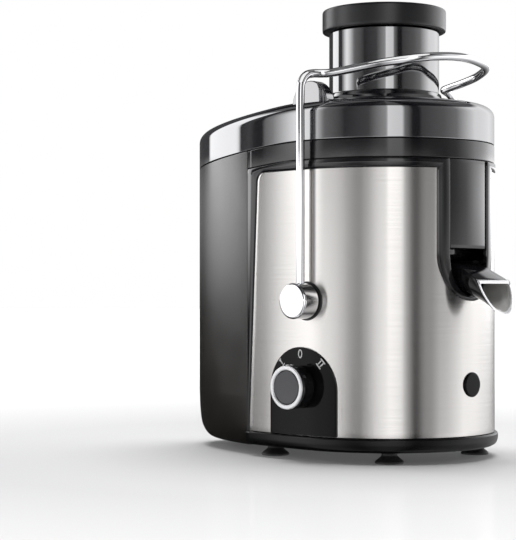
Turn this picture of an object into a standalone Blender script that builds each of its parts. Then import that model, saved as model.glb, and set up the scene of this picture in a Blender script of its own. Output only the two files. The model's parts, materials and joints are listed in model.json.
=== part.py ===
"""Centrifugal juicer with a locking bail, a wide feed chute and a rear pulp container.

Metres, +Z up.  The spout points to +X, the knob faces -Y and the pulp container is at -X.
Everything is laid out about the vertical spindle, then moved by PLAN_SHIFT so that the
origin is on the counter under the middle of the whole object.
"""
import math

import bmesh
import bpy
from mathutils import Vector

# ---- driving dimensions ------------------------------------------------------------------
BODY_R = 0.0917            # round front of the body, also half its width
TAIL_LEN = 0.2030          # spindle to the rear end of the lid and container
BACK_X = -0.0765           # flat rear of the body, in front of the container
PLAN_SHIFT = Vector((0.0394, 0.0002, 0.0))

FOOT_H = 0.0090
SKIRT_TOP = 0.0203
HOUSING_TOP = 0.2422
RING_BOTTOM = 0.2426
RING_TOP = 0.2576
LID_BOTTOM = 0.2580
LID_TOP = 0.2910
DROOP_START = -0.030       # behind this x the lid, ring and container rim slope down
DROOP_SLOPE = 0.075

STEEL_BOTTOM = 0.0209
STEEL_TOP = 0.2345
STEEL_SKIN = 0.0012
STEEL_REAR_X = -0.0625      # rear edge at the top; it leans back towards the base
STEEL_LEAN = 0.0545
FIT = 0.0004               # gap between pieces that touch

CHUTE_R = 0.0460
CHUTE_BORE_R = 0.0425
CHUTE_BOTTOM = 0.2000
CHUTE_TOP = 0.3524
CAP_R = 0.0517
CAP_TOP = 0.3716

PIVOT_X = -0.0030
PIVOT_Z = 0.1290
ROD_Y = 0.0995
ROD_R = 0.0034
HUB_R = 0.0144
HUB_FRONT_Y = 0.1100

KNOB_X = -0.0090
KNOB_Z = 0.0600
PANEL_HALF_W = 0.0350
PANEL_ARCH_Z = 0.0570

RECESS_HALF_W = 0.0243     # opening in the front for the bowl's outlet and the spout
FRAME_HALF_W = 0.0358      # black surround of that opening
FRAME_BOTTOM = 0.1290
RECESS_BOTTOM = 0.1325

DECK_Z = 0.1595            # floor between the motor room and the bowl
WALL = 0.0030
CUP_R = 0.0730
SHAFT_R = 0.0040
OUTLINE = 20               # points along half of the body outline
ROUND = 28                 # sides of the larger turned pieces
SMALL = 12                 # sides of the smaller ones

COLOURS = {
    "black_gloss": ((0.030, 0.030, 0.033), 0.0, 0.18),
    "black_satin": ((0.045, 0.045, 0.048), 0.0, 0.42),
    "smoke": ((0.105, 0.100, 0.095), 0.0, 0.30),
    "dark_grey": ((0.120, 0.120, 0.130), 0.0, 0.40),
    "silver": ((0.780, 0.780, 0.780), 0.9, 0.30),
    "chrome": ((0.850, 0.850, 0.860), 1.0, 0.08),
    "steel": ((0.640, 0.620, 0.590), 1.0, 0.32),
    "rubber": ((0.020, 0.020, 0.020), 0.0, 0.80),
    "iron": ((0.300, 0.300, 0.310), 1.0, 0.50),
    "copper": ((0.720, 0.390, 0.220), 1.0, 0.40),
}


# ---- small tools -------------------------------------------------------------------------
def clear_scene():
    for obj in list(bpy.data.objects):
        bpy.data.objects.remove(obj, do_unlink=True)


def paint(obj, name):
    mat = bpy.data.materials.get(name)
    if mat is None:
        mat = bpy.data.materials.new(name)
        mat.use_nodes = True
        colour, metallic, roughness = COLOURS[name]
        shader = mat.node_tree.nodes["Principled BSDF"]
        shader.inputs["Base Color"].default_value = (*colour, 1.0)
        shader.inputs["Metallic"].default_value = metallic
        shader.inputs["Roughness"].default_value = roughness
    obj.data.materials.append(mat)


def add_object(name, bm, colour, origin=(0.0, 0.0, 0.0)):
    """Turn a bmesh into an object whose origin sits at the given point."""
    bmesh.ops.remove_doubles(bm, verts=bm.verts, dist=1e-6)
    bmesh.ops.recalc_face_normals(bm, faces=bm.faces)
    bmesh.ops.translate(bm, verts=bm.verts, vec=-Vector(origin))
    mesh = bpy.data.meshes.new(name)
    bm.to_mesh(mesh)
    bm.free()
    mesh.shade_smooth()
    mesh.set_sharp_from_angle(angle=math.radians(35))
    obj = bpy.data.objects.new(name, mesh)
    bpy.context.scene.collection.objects.link(obj)
    obj.location = Vector(origin) + PLAN_SHIFT
    paint(obj, colour)
    return obj


def tool(name, bm):
    """A cutter or an added shape: hidden, and left out of the model."""
    obj = add_object(name, bm, "black_satin")
    obj.hide_render = True
    obj.display_type = "WIRE"
    return obj


def combine(obj, other, operation):
    mod = obj.modifiers.new(other.name, "BOOLEAN")
    mod.operation = operation
    mod.solver = "EXACT"
    mod.object = other


def turned(profile, centre=(0.0, 0.0), steps=ROUND, axis="Z"):
    """Revolve a closed (radius, height) profile; radius 0 points lie on the axis."""
    bm = bmesh.new()
    rings = []
    for radius, height in profile:
        count = 1 if radius < 1e-9 else steps
        ring = []
        for i in range(count):
            angle = 2 * math.pi * i / steps
            across, up = radius * math.cos(angle), radius * math.sin(angle)
            if axis == "Z":
                point = (centre[0] + across, centre[1] + up, height)
            else:
                point = (centre[0] + across, height, centre[1] + up)
            ring.append(bm.verts.new(point))
        rings.append(ring)
    for ring, following in zip(rings, rings[1:] + rings[:1]):
        bridge(bm, ring, following)
    return bm


def bridge(bm, ring, following):
    if len(ring) == 1 and len(following) == 1:
        return
    steps = max(len(ring), len(following))
    for i in range(steps):
        j = (i + 1) % steps
        corners = [ring[i % len(ring)], ring[j % len(ring)],
                   following[j % len(following)], following[i % len(following)]]
        bm.faces.new(list(dict.fromkeys(corners)))


def droop(x):
    return DROOP_SLOPE * min(0.0, x - DROOP_START)


def half_outline(offset, rear, front, count):
    """Points with y >= 0 from front to rear: a quarter circle, then a quarter ellipse.

    One point always lies where the droop starts, so that neighbours bend together.
    """
    radius, length = BODY_R + offset, TAIL_LEN + offset
    start = 0.0 if front is None else math.acos(max(-1.0, front / length))
    end = math.pi if rear is None else math.acos(max(-1.0, rear / length))
    bend = math.acos(DROOP_START / length)
    knots = [start, end] if start > bend else [start, bend, end]
    nominal = math.acos(DROOP_START / TAIL_LEN)
    share = 1.0 if len(knots) == 2 else nominal / (math.pi if rear is None else 1.96)
    first = count - 1 if len(knots) == 2 else round((count - 1) * share)
    angles = [knots[0] + (knots[1] - knots[0]) * i / first for i in range(first + 1)]
    for i in range(1, count - first):
        angles.append(knots[1] + (knots[-1] - knots[1]) * i / (count - 1 - first))
    points = []
    for t in angles:
        x = (radius if t < math.pi / 2 else length) * math.cos(t)
        points.append((x, max(0.0, radius * math.sin(t))))
    return points


def lofted(levels, rear=None, front=None, count=26):
    """Skin a row of (offset, z, droop share) outlines and close both ends with strips."""
    bm = bmesh.new()
    rows = []
    for offset, z, share in levels:
        inset = max(0.0, -offset)
        near = None if rear is None else rear + inset
        far = None if front is None else front - inset
        half = half_outline(offset, near, far, count)
        left = [bm.verts.new((x, y, z + share * droop(x))) for x, y in half]
        right = []
        for (x, y), vert in zip(half, left):
            right.append(vert if y < 1e-7 else bm.verts.new((x, -y, z + share * droop(x))))
        rows.append((left, right))
    for (left_a, right_a), (left_b, right_b) in zip(rows, rows[1:]):
        ring_a = list(dict.fromkeys(left_a + right_a[::-1]))
        ring_b = list(dict.fromkeys(left_b + right_b[::-1]))
        bridge(bm, ring_a, ring_b)
    for left, right in (rows[0], rows[-1]):
        for i in range(len(left) - 1):
            corners = [left[i], left[i + 1], right[i + 1], right[i]]
            bm.faces.new(list(dict.fromkeys(corners)))
    return bm


def band(inner, outer, bottom, top, rear, count=26, share=0.0):
    """A ring-shaped wall that follows the body outline, flat across at the rear."""
    bm = bmesh.new()
    rows = []
    for offset, z in ((inner, bottom), (outer, bottom), (outer, top), (inner, top)):
        half = half_outline(offset, rear + max(0.0, -offset), None, count)
        loop = half + [(x, -y) for x, y in reversed(half) if y > 1e-7]
        rows.append([bm.verts.new((x, y, z + share * droop(x))) for x, y in loop])
    for row, following in zip(rows, rows[1:] + rows[:1]):
        bridge(bm, row, following)
    return bm


def extruded(points, low, high, axis):
    """Push a polygon of (a, b) points from low to high along X, Y or Z."""
    place = {"X": lambda a, b, c: (c, a, b), "Y": lambda a, b, c: (a, c, b),
             "Z": lambda a, b, c: (a, b, c)}[axis]
    bm = bmesh.new()
    bottom = [bm.verts.new(place(a, b, low)) for a, b in points]
    top = [bm.verts.new(place(a, b, high)) for a, b in points]
    bm.faces.new(bottom)
    bm.faces.new(top)
    bridge(bm, bottom, top)
    return bm


def box(x0, x1, y0, y1, z0, z1):
    return extruded([(x0, y0), (x1, y0), (x1, y1), (x0, y1)], z0, z1, "Z")


def merged(parts):
    """Several bmeshes side by side in one."""
    whole = bmesh.new()
    for part in parts:
        mesh = bpy.data.meshes.new("scrap")
        part.to_mesh(mesh)
        part.free()
        whole.from_mesh(mesh)
        bpy.data.meshes.remove(mesh)
    return whole


def turned_about_z(bm, angle):
    spin = [(math.cos(angle), -math.sin(angle)), (math.sin(angle), math.cos(angle))]
    for vert in bm.verts:
        x, y = vert.co.x, vert.co.y
        vert.co.x = spin[0][0] * x + spin[0][1] * y
        vert.co.y = spin[1][0] * x + spin[1][1] * y
    return bm


def rod(radius, low, high, centre=(0.0, 0.0), steps=SMALL, axis="Z"):
    profile = [(0.0, low), (radius, low), (radius, high), (0.0, high)]
    return turned(profile, centre, steps, axis)


def collar(inner, outer, low, high, centre=(0.0, 0.0), steps=SMALL, axis="Z"):
    profile = [(inner, low), (outer, low), (outer, high), (inner, high)]
    return turned(profile, centre, steps, axis)


# ---- base --------------------------------------------------------------------------------
FOOT_SPOTS = [(0.0526, -0.0555), (0.0526, 0.0555), (-0.0620, -0.0670), (-0.0620, 0.0670)]
SCREW_ANGLES = [18, -18, 128, -128]
SCREW_RING = 0.0770


def screw_spot(degrees):
    angle = math.radians(degrees)
    return SCREW_RING * math.cos(angle), SCREW_RING * math.sin(angle)


def build_base():
    bm = bmesh.new()
    rows = []
    for offset, z in ((-0.0065, FOOT_H), (-0.0035, FOOT_H), (0.0012, 0.0110), (0.0028, 0.0145),
                      (0.0028, SKIRT_TOP), (-0.0050, SKIRT_TOP)):
        half = half_outline(offset, BACK_X + max(0.0, -offset), None, 16)
        loop = half + [(x, -y) for x, y in reversed(half) if y > 1e-7]
        rows.append([bm.verts.new((x, y, z)) for x, y in loop])
    for row, following in zip(rows, rows[1:] + rows[:1]):
        bridge(bm, row, following)
    add_object("base_skirt", bm, "black_gloss")

    cover = add_object("bottom_cover", lofted(
        [(-0.0070, 0.0105, 0), (-0.0070, 0.0135, 0)], rear=BACK_X, count=16), "black_satin")
    holes = [rod(0.0068, 0.005, 0.020, spot, 12) for spot in FOOT_SPOTS]
    holes += [rod(0.0020, 0.005, 0.020, screw_spot(a), 8) for a in SCREW_ANGLES]
    holes += [box(-0.020, 0.020, y - 0.0015, y + 0.0015, 0.005, 0.020)
              for y in (-0.018, -0.009, 0.0, 0.009, 0.018)]
    combine(cover, tool("cut_bottom_cover", merged(holes)), "DIFFERENCE")

    foot = [(0.0, 0.0), (0.0115, 0.0), (0.0118, 0.0014), (0.0090, 0.0048), (0.0064, 0.0066),
            (0.0064, 0.0139), (0.0075, 0.0139), (0.0072, 0.0165), (0.0, 0.0165)]
    for number, spot in enumerate(FOOT_SPOTS, 1):
        add_object(f"suction_foot_{number}", turned(foot, spot, 12), "rubber")

    screw = [(0.0, 0.0080), (0.0030, 0.0080), (0.0036, 0.0090), (0.0036, 0.0101),
             (0.0015, 0.0101), (0.0015, 0.0300), (0.0, 0.0300)]
    for number, angle in enumerate(SCREW_ANGLES, 1):
        add_object(f"bottom_screw_{number}", turned(screw, screw_spot(angle), 8), "iron")


# ---- body shell --------------------------------------------------------------------------
def surround_outline(half_w, bottom, top, steps=9):
    """U outline in (y, z): straight sides that close in an elliptical bottom."""
    start = 0.166
    points = [(half_w, top)]
    for i in range(steps + 1):
        t = math.pi * i / steps
        points.append((half_w * math.cos(t), start - (start - bottom) * math.sin(t)))
    points.append((-half_w, top))
    return points


def side_outline(grow):
    """Steel panel seen from the side, in (x, z): leaning rear edge, rounded top corner."""
    low = STEEL_BOTTOM if grow == 0.0 else FOOT_H
    high, radius = STEEL_TOP + grow, 0.0080
    corner_x, corner_z = STEEL_REAR_X + radius - grow, high - radius
    points = [(corner_x - radius - STEEL_LEAN * (corner_z - low), low)]
    for i in range(6):
        t = math.pi - math.pi / 2 * i / 5
        points.append((corner_x + radius * math.cos(t), corner_z + radius * math.sin(t)))
    return points + [(0.120, high), (0.120, low)]


def steel_shape(name, inner, outer, grow):
    """The curved sheet between two offsets, trimmed to its side and front outlines."""
    sheet = add_object(name, band(inner, outer, 0.0203 - grow, 0.2400, BACK_X, OUTLINE), "steel")
    keep = tool(name + "_side", extruded(side_outline(grow), -0.13, 0.13, "Y"))
    combine(sheet, keep, "INTERSECT")
    outline = surround_outline(FRAME_HALF_W - grow, FRAME_BOTTOM + grow, 0.26)
    combine(sheet, tool(name + "_front", extruded(outline, 0.050, 0.130, "X")), "DIFFERENCE")
    return sheet


def pin_holes():
    holes = [rod(0.0054, -0.12, 0.12, (PIVOT_X, PIVOT_Z), 16, "Y")]
    holes.append(rod(0.0034, -0.12, -0.060, (KNOB_X, KNOB_Z), 14, "Y"))
    return tool("cut_pins", merged(holes))


def build_shell():
    housing = add_object("motor_housing", lofted([
        (-WALL, DECK_Z, 0), (-WALL, 0.0207, 0), (0.0, 0.0207, 0), (0.0, HOUSING_TOP, 1),
        (-WALL, HOUSING_TOP, 1), (-WALL, DECK_Z + 0.0025, 0)], rear=BACK_X, count=OUTLINE),
        "black_gloss")
    posts = []
    for angle in SCREW_ANGLES:
        reach = 0.0900 if abs(angle) < 90 else 0.1080
        post = box(SCREW_RING - 0.004, reach, -0.004, 0.004, 0.0208, 0.0330)
        posts.append(turned_about_z(post, math.radians(angle)))
    combine(housing, tool("add_posts", merged(posts)), "UNION")
    pocket = steel_shape("cut_steel", -0.0018, 0.0020, FIT)
    pocket.hide_render = True
    pocket.display_type = "WIRE"
    combine(housing, pocket, "DIFFERENCE")
    slot = surround_outline(RECESS_HALF_W, RECESS_BOTTOM, 0.26)
    combine(housing, tool("cut_slot", extruded(slot, 0.0780, 0.1000, "X")), "DIFFERENCE")
    inside = [box(0.0440, 0.0800, -0.0200, 0.0200, 0.1400, 0.1700),
              rod(0.0103, 0.150, 0.170)]
    inside += [rod(0.0018, 0.010, 0.040, screw_spot(a), 8) for a in SCREW_ANGLES]
    combine(housing, tool("cut_deck", merged(inside)), "DIFFERENCE")
    holes = pin_holes()
    combine(housing, holes, "DIFFERENCE")

    steel = steel_shape("steel_panel", -0.0002 - STEEL_SKIN, -0.0002, 0.0)
    combine(steel, holes, "DIFFERENCE")


def build_gland():
    """Cable entry low on the +Y side, near the rear edge of the steel."""
    profile = [(0.0032, 0.0830), (0.0060, 0.0830), (0.0060, 0.0922), (0.0080, 0.0922),
               (0.0072, 0.0950), (0.0032, 0.0950)]
    add_object("cord_gland", turned(profile, (-0.050, 0.0330), 16, "Y"), "rubber")
    hole = tool("cut_cord", rod(0.0063, 0.070, 0.110, (-0.050, 0.0330), 16, "Y"))
    combine(bpy.data.objects["motor_housing"], hole, "DIFFERENCE")
    combine(bpy.data.objects["steel_panel"], hole, "DIFFERENCE")


# ---- control knob ------------------------------------------------------------------------
def build_knob():
    arch = [(KNOB_X - PANEL_HALF_W, 0.0212), (KNOB_X + PANEL_HALF_W, 0.0212)]
    for i in range(15):
        t = math.pi * i / 14
        arch.append((KNOB_X + PANEL_HALF_W * math.cos(t), PANEL_ARCH_Z
                     + PANEL_HALF_W * math.sin(t)))
    panel = add_object("knob_panel", band(0.0002, 0.0016, 0.0206, 0.1100, BACK_X, OUTLINE),
                       "black_gloss")
    combine(panel, tool("keep_panel", extruded(arch, -0.12, -0.05, "Y")), "INTERSECT")
    combine(panel, bpy.data.objects["cut_pins"], "DIFFERENCE")

    centre = (KNOB_X, KNOB_Z)
    origin = (KNOB_X, -0.0945, KNOB_Z)
    body = [(0.0, -0.0945), (0.0168, -0.0945), (0.0172, -0.0960), (0.0176, -0.1070),
            (0.0170, -0.1084), (0.0, -0.1084)]
    knob = add_object("knob_body", turned(body, centre, 22, "Y"), "black_gloss", origin)
    combine(knob, tool("cut_knob", rod(0.0030, -0.1040, -0.0900, centre, 14, "Y")),
            "DIFFERENCE")
    ring = [(0.0139, -0.1087), (0.0172, -0.1087), (0.0176, -0.1094), (0.0170, -0.1104),
            (0.0146, -0.1104), (0.0139, -0.1098)]
    add_object("knob_ring", turned(ring, centre, 22, "Y"), "silver", origin)
    cap = [(0.0, -0.1087), (0.0135, -0.1087), (0.0135, -0.1094), (0.0128, -0.1098),
           (0.0, -0.1096)]
    add_object("knob_cap", turned(cap, centre, 22, "Y"), "dark_grey", origin)
    add_object("knob_shaft", rod(0.0026, -0.1036, -0.0700, centre, 14, "Y"), "iron", origin)
    switch = add_object("rotary_switch", box(KNOB_X - 0.014, KNOB_X + 0.014, -0.0840, -0.0600,
                                             KNOB_Z - 0.014, KNOB_Z + 0.014), "dark_grey")
    combine(switch, bpy.data.objects["cut_pins"], "DIFFERENCE")

    badge = add_object("front_badge", rod(0.0100, 0.0, 0.0014, (0, 0), 28), "black_gloss")
    badge.location = Vector((BODY_R + 0.0004, 0.0, 0.0620)) + PLAN_SHIFT
    badge.rotation_euler = (0.0, math.pi / 2, 0.0)


# ---- locking arm -------------------------------------------------------------------------
ARM_HALF = [(0.0, ROD_Y, 0.008), (0.0, ROD_Y, 0.060), (0.0, ROD_Y, 0.120),
            (0.0, ROD_Y, 0.166), (0.0, 0.0978, 0.1755), (0.0, 0.0925, 0.1810),
            (0.0010, 0.0855, 0.1830), (0.0045, 0.0790, 0.1833), (0.0110, 0.0750, 0.1836),
            (0.0290, 0.0700, 0.1856), (0.0450, 0.0650, 0.1877), (0.0560, 0.0600, 0.1894),
            (0.0700, 0.0500, 0.1914), (0.0785, 0.0400, 0.1930), (0.0820, 0.0300, 0.1943),
            (0.0845, 0.0150, 0.1956), (0.0860, 0.0, 0.1960)]


def smooth_path(points, pieces):
    """Catmull-Rom points through the given ones."""
    path = []
    padded = [points[0]] + points + [points[-1]]
    for a, b, c, d in zip(padded, padded[1:], padded[2:], padded[3:]):
        a, b, c, d = Vector(a), Vector(b), Vector(c), Vector(d)
        for i in range(pieces):
            t = i / pieces
            path.append(0.5 * (2 * b + (c - a) * t + (2 * a - 5 * b + 4 * c - d) * t * t
                               + (3 * b - 3 * c + d - a) * t ** 3))
    return path + [Vector(points[-1])]


def build_arm():
    half = smooth_path([(x, -y, z) for x, y, z in ARM_HALF], 2)
    path = half + [Vector((p.x, -p.y, p.z)) for p in reversed(half[:-1])]
    curve = bpy.data.curves.new("locking_arm", "CURVE")
    curve.dimensions = "3D"
    curve.bevel_depth = ROD_R
    curve.bevel_resolution = 2
    curve.use_fill_caps = True
    spline = curve.splines.new("POLY")
    spline.points.add(len(path) - 1)
    for point, place in zip(spline.points, path):
        point.co = (*place, 1.0)
    arm = bpy.data.objects.new("locking_arm", curve)
    bpy.context.scene.collection.objects.link(arm)
    arm.location = Vector((PIVOT_X, 0.0, PIVOT_Z)) + PLAN_SHIFT
    paint(arm, "chrome")

    for side, word in ((-1, "right"), (1, "left")):
        centre = (PIVOT_X, PIVOT_Z)
        origin = (PIVOT_X, side * ROD_Y, PIVOT_Z)
        face = [(0.0, 0.0924), (0.0128, 0.0924), (HUB_R, 0.0940), (HUB_R, 0.1084),
                (HUB_R - 0.0016, HUB_FRONT_Y), (0.0, HUB_FRONT_Y)]
        hub = add_object(f"arm_hub_{word}", turned([(r, side * y) for r, y in face], centre,
                                                   20, "Y"), "chrome", origin)
        socket = rod(ROD_R + FIT, PIVOT_Z + 0.0072, PIVOT_Z + 0.020,
                     (PIVOT_X, side * ROD_Y), 14)
        combine(hub, tool(f"cut_hub_{word}", socket), "DIFFERENCE")
        pin = [(0.0, 0.0920), (0.0050, 0.0920), (0.0050, 0.0800), (0.0, 0.0800)]
        add_object(f"arm_pin_{word}", turned([(r, side * y) for r, y in pin], centre, 16,
                                             "Y"), "iron", origin)
        add_object(f"lock_switch_{word}", box(PIVOT_X - 0.010, PIVOT_X + 0.010,
                   *sorted((side * 0.0700, side * 0.0790)), PIVOT_Z - 0.007, PIVOT_Z + 0.007),
                   "dark_grey")


# ---- lid and pusher ----------------------------------------------------------------------
LUG_X, LUG_R, LUG_TOP = -0.0058, 0.0188, 0.3064


def build_lid():
    lid = add_object("lid", lofted([
        (-0.0095, LID_TOP - 0.0028, 1), (-0.0040, 0.2850, 1), (-0.0027, 0.2810, 1),
        (-0.0025, LID_BOTTOM, 1), (0.0, LID_BOTTOM, 1), (0.0, 0.2830, 1),
        (-0.0006, 0.2866, 1), (-0.0024, 0.2893, 1), (-0.0058, 0.2907, 1),
        (-0.0130, LID_TOP, 1)], count=24), "black_gloss")
    lug_side = [(LUG_X + LUG_R * math.cos(math.radians(a)),
                 LUG_TOP - LUG_R + LUG_R * math.sin(math.radians(a)))
                for a in range(0, 181, 15)]
    lugs = [extruded(lug_side, *sorted((side * 0.0765, side * 0.0862)), "Y")
            for side in (-1, 1)]
    combine(lid, tool("add_lugs", merged(lugs)), "UNION")
    chute = [(0.0, CHUTE_BOTTOM), (CHUTE_R, CHUTE_BOTTOM), (CHUTE_R, 0.2850),
             (0.0560, 0.2895), (0.0540, 0.2924), (0.0505, 0.2952), (0.0478, 0.3003),
             (CHUTE_R, 0.3007), (CHUTE_R, CHUTE_TOP), (0.0, CHUTE_TOP)]
    combine(lid, tool("add_chute", turned(chute)), "UNION")
    bore = rod(CHUTE_BORE_R, CHUTE_BOTTOM - 0.01, CHUTE_TOP + 0.01, steps=ROUND)
    combine(lid, tool("cut_chute", bore), "DIFFERENCE")

    pusher = [(0.0, 0.2240), (0.0400, 0.2240), (0.0418, 0.2258), (0.0418, 0.3530),
              (0.0396, 0.3530), (0.0396, 0.2270), (0.0, 0.2270)]
    add_object("pusher_body", turned(pusher), "smoke")
    cap = [(0.0, 0.3534), (0.0495, 0.3534), (CAP_R - 0.0004, 0.3546), (CAP_R, 0.3566),
           (CAP_R, 0.3684), (CAP_R - 0.0012, 0.3706), (CAP_R - 0.0040, CAP_TOP),
           (0.0, CAP_TOP)]
    add_object("pusher_cap", turned(cap), "black_gloss")


# ---- bowl, spout, basket -----------------------------------------------------------------
def build_bowl():
    ring = add_object("juice_bowl", band(-0.0060, 0.0, RING_BOTTOM, RING_TOP, BACK_X,
                                         OUTLINE, 1.0), "black_gloss")
    flange = lofted([(-0.0050, 0.2385, 1), (-0.0050, 0.2440, 1)], rear=BACK_X, count=16)
    cup = [(0.0, DECK_Z + 0.0029), (CUP_R - 0.004, DECK_Z + 0.0029), (CUP_R, 0.1665),
           (CUP_R, 0.2430), (0.0, 0.2430)]
    cup_solid = turned(cup)
    cover = extruded([(-0.0238, 0.1710), (0.0238, 0.1710), (0.0238, 0.2480),
                      (-0.0238, 0.2480)], 0.0600, 0.1000, "X")
    shape = tool("cover_round", rod(BODY_R - 0.0004, 0.160, 0.250, steps=56))
    cover_obj = tool("add_cover", cover)
    combine(cover_obj, shape, "INTERSECT")
    combine(ring, tool("add_flange", flange), "UNION")
    combine(ring, tool("add_cup", cup_solid), "UNION")
    combine(ring, cover_obj, "UNION")
    hollow = [(0.0155, 0.1655), (CUP_R - 0.0055, 0.1655), (CUP_R - 0.002, 0.1685),
              (CUP_R - 0.002, 0.2700), (0.0, 0.2700), (0.0, 0.1745), (0.0155, 0.1745)]
    combine(ring, tool("cut_cup", turned(hollow)), "DIFFERENCE")
    room = [rod(0.0132, 0.150, 0.190), box(0.0520, 0.0640, -0.0130, 0.0130, 0.155, 0.170),
            extruded([(-0.0216, 0.1650), (0.0216, 0.1650), (0.0216, 0.2350),
                      (-0.0216, 0.2350)], 0.0760, 0.0890, "X")]
    combine(ring, tool("cut_bowl_room", merged(room)), "DIFFERENCE")

    build_spout()

    basket = [(0.0120, 0.1765), (0.0180, 0.1765), (0.0180, 0.1822), (0.0445, 0.1822),
              (0.0620, 0.2440), (0.0655, 0.2440), (0.0655, 0.2462), (0.0606, 0.2462),
              (0.0433, 0.1838), (0.0160, 0.1838), (0.0160, 0.1960), (0.0120, 0.1960)]
    mesh = add_object("filter_basket", turned(basket), "steel")
    slots = []
    for i in range(10):
        slot = box(0.0400, 0.0700, -0.0011, 0.0011, 0.1900, 0.2380)
        slots.append(turned_about_z(slot, 2 * math.pi * (i + 0.5) / 10))
    combine(mesh, tool("cut_slots", merged(slots)), "DIFFERENCE")

    disc = [(0.0164, 0.1842), (0.0415, 0.1842), (0.0415, 0.1856), (0.0164, 0.1856)]
    grater = add_object("grating_disc", turned(disc), "steel")
    teeth = []
    for row, count in ((0.0240, 6), (0.0330, 9)):
        for i in range(count):
            tooth = extruded([(row - 0.002, 0.1850), (row + 0.002, 0.1850), (row, 0.1880)],
                             -0.0012, 0.0012, "Y")
            teeth.append(turned_about_z(tooth, 2 * math.pi * i / count))
    combine(grater, tool("add_teeth", merged(teeth)), "UNION")


# station x, half width, roof and floor of the spout's outside
SPOUT = [(0.0480, 0.0150, 0.1600, 0.1400), (0.0700, 0.0150, 0.1600, 0.1385),
         (0.0880, 0.0165, 0.1590, 0.1355), (0.0925, 0.0175, 0.1568, 0.1345),
         (0.1020, 0.0190, 0.1516, 0.1304), (0.1100, 0.0204, 0.1472, 0.1270),
         (0.1190, 0.0210, 0.1422, 0.1216), (0.1330, 0.0210, 0.1345, 0.1105)]
SPOUT_WALL = 0.0018
MOUTH_X, MOUTH_Z, MOUTH_LEAN = 0.1136, 0.1452, 0.411   # the open end leans out at its foot
BEFORE_MOUTH = 5                 # last station that lies wholly behind the open end


def spout_section(x, wall, steps=10):
    """Flat roof and rounded floor, in the plane of constant x."""
    for near, far in zip(SPOUT, SPOUT[1:]):
        if x <= far[0]:
            break
    share = (x - near[0]) / (far[0] - near[0])
    half_w, roof, floor = [a + (b - a) * share for a, b in zip(near[1:], far[1:])]
    half_w, roof, floor = half_w - wall, roof - wall, floor + wall
    depth = half_w * 0.9
    points = [(x, half_w, roof)]
    for i in range(steps + 1):
        t = math.pi * i / steps
        points.append((x, half_w * math.cos(t), floor + depth - depth * math.sin(t)))
    return points + [(x, -half_w, roof)]


def mouth_section(wall, share):
    """Where each line of the tube has run a share of the way on to the leaning mouth."""
    start = SPOUT[BEFORE_MOUTH][0]
    section = []
    for index in range(len(spout_section(start, wall))):
        end = start
        for _ in range(20):
            height = spout_section(end, wall)[index][2]
            end = MOUTH_X + MOUTH_LEAN * (MOUTH_Z - height)
        section.append(spout_section(start + (end - start) * share, wall)[index])
    return section


def spout_rows(wall, rear):
    places = [rear] + [station[0] for station in SPOUT[1:BEFORE_MOUTH + 1]]
    return [spout_section(x, wall) for x in places] + [mouth_section(wall, s) for s in (0.5, 1.0)]


def build_spout():
    """A covered channel under the bowl's outlet that falls to an open, leaning mouth."""
    rear = SPOUT[0][0]
    outside = spout_rows(0.0, rear)
    inside = spout_rows(SPOUT_WALL, rear + SPOUT_WALL)
    bm = bmesh.new()
    rows = [[bm.verts.new(p) for p in row] for row in outside + inside[::-1]]
    for row, following in zip(rows, rows[1:]):
        bridge(bm, row, following)
    bm.faces.new(rows[0])
    bm.faces.new(rows[-1])
    spout = add_object("spout", bm, "black_gloss")
    inlet = box(0.0510, 0.0650, -0.0120, 0.0120, 0.150, 0.165)
    combine(spout, tool("cut_spout", inlet), "DIFFERENCE")


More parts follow.
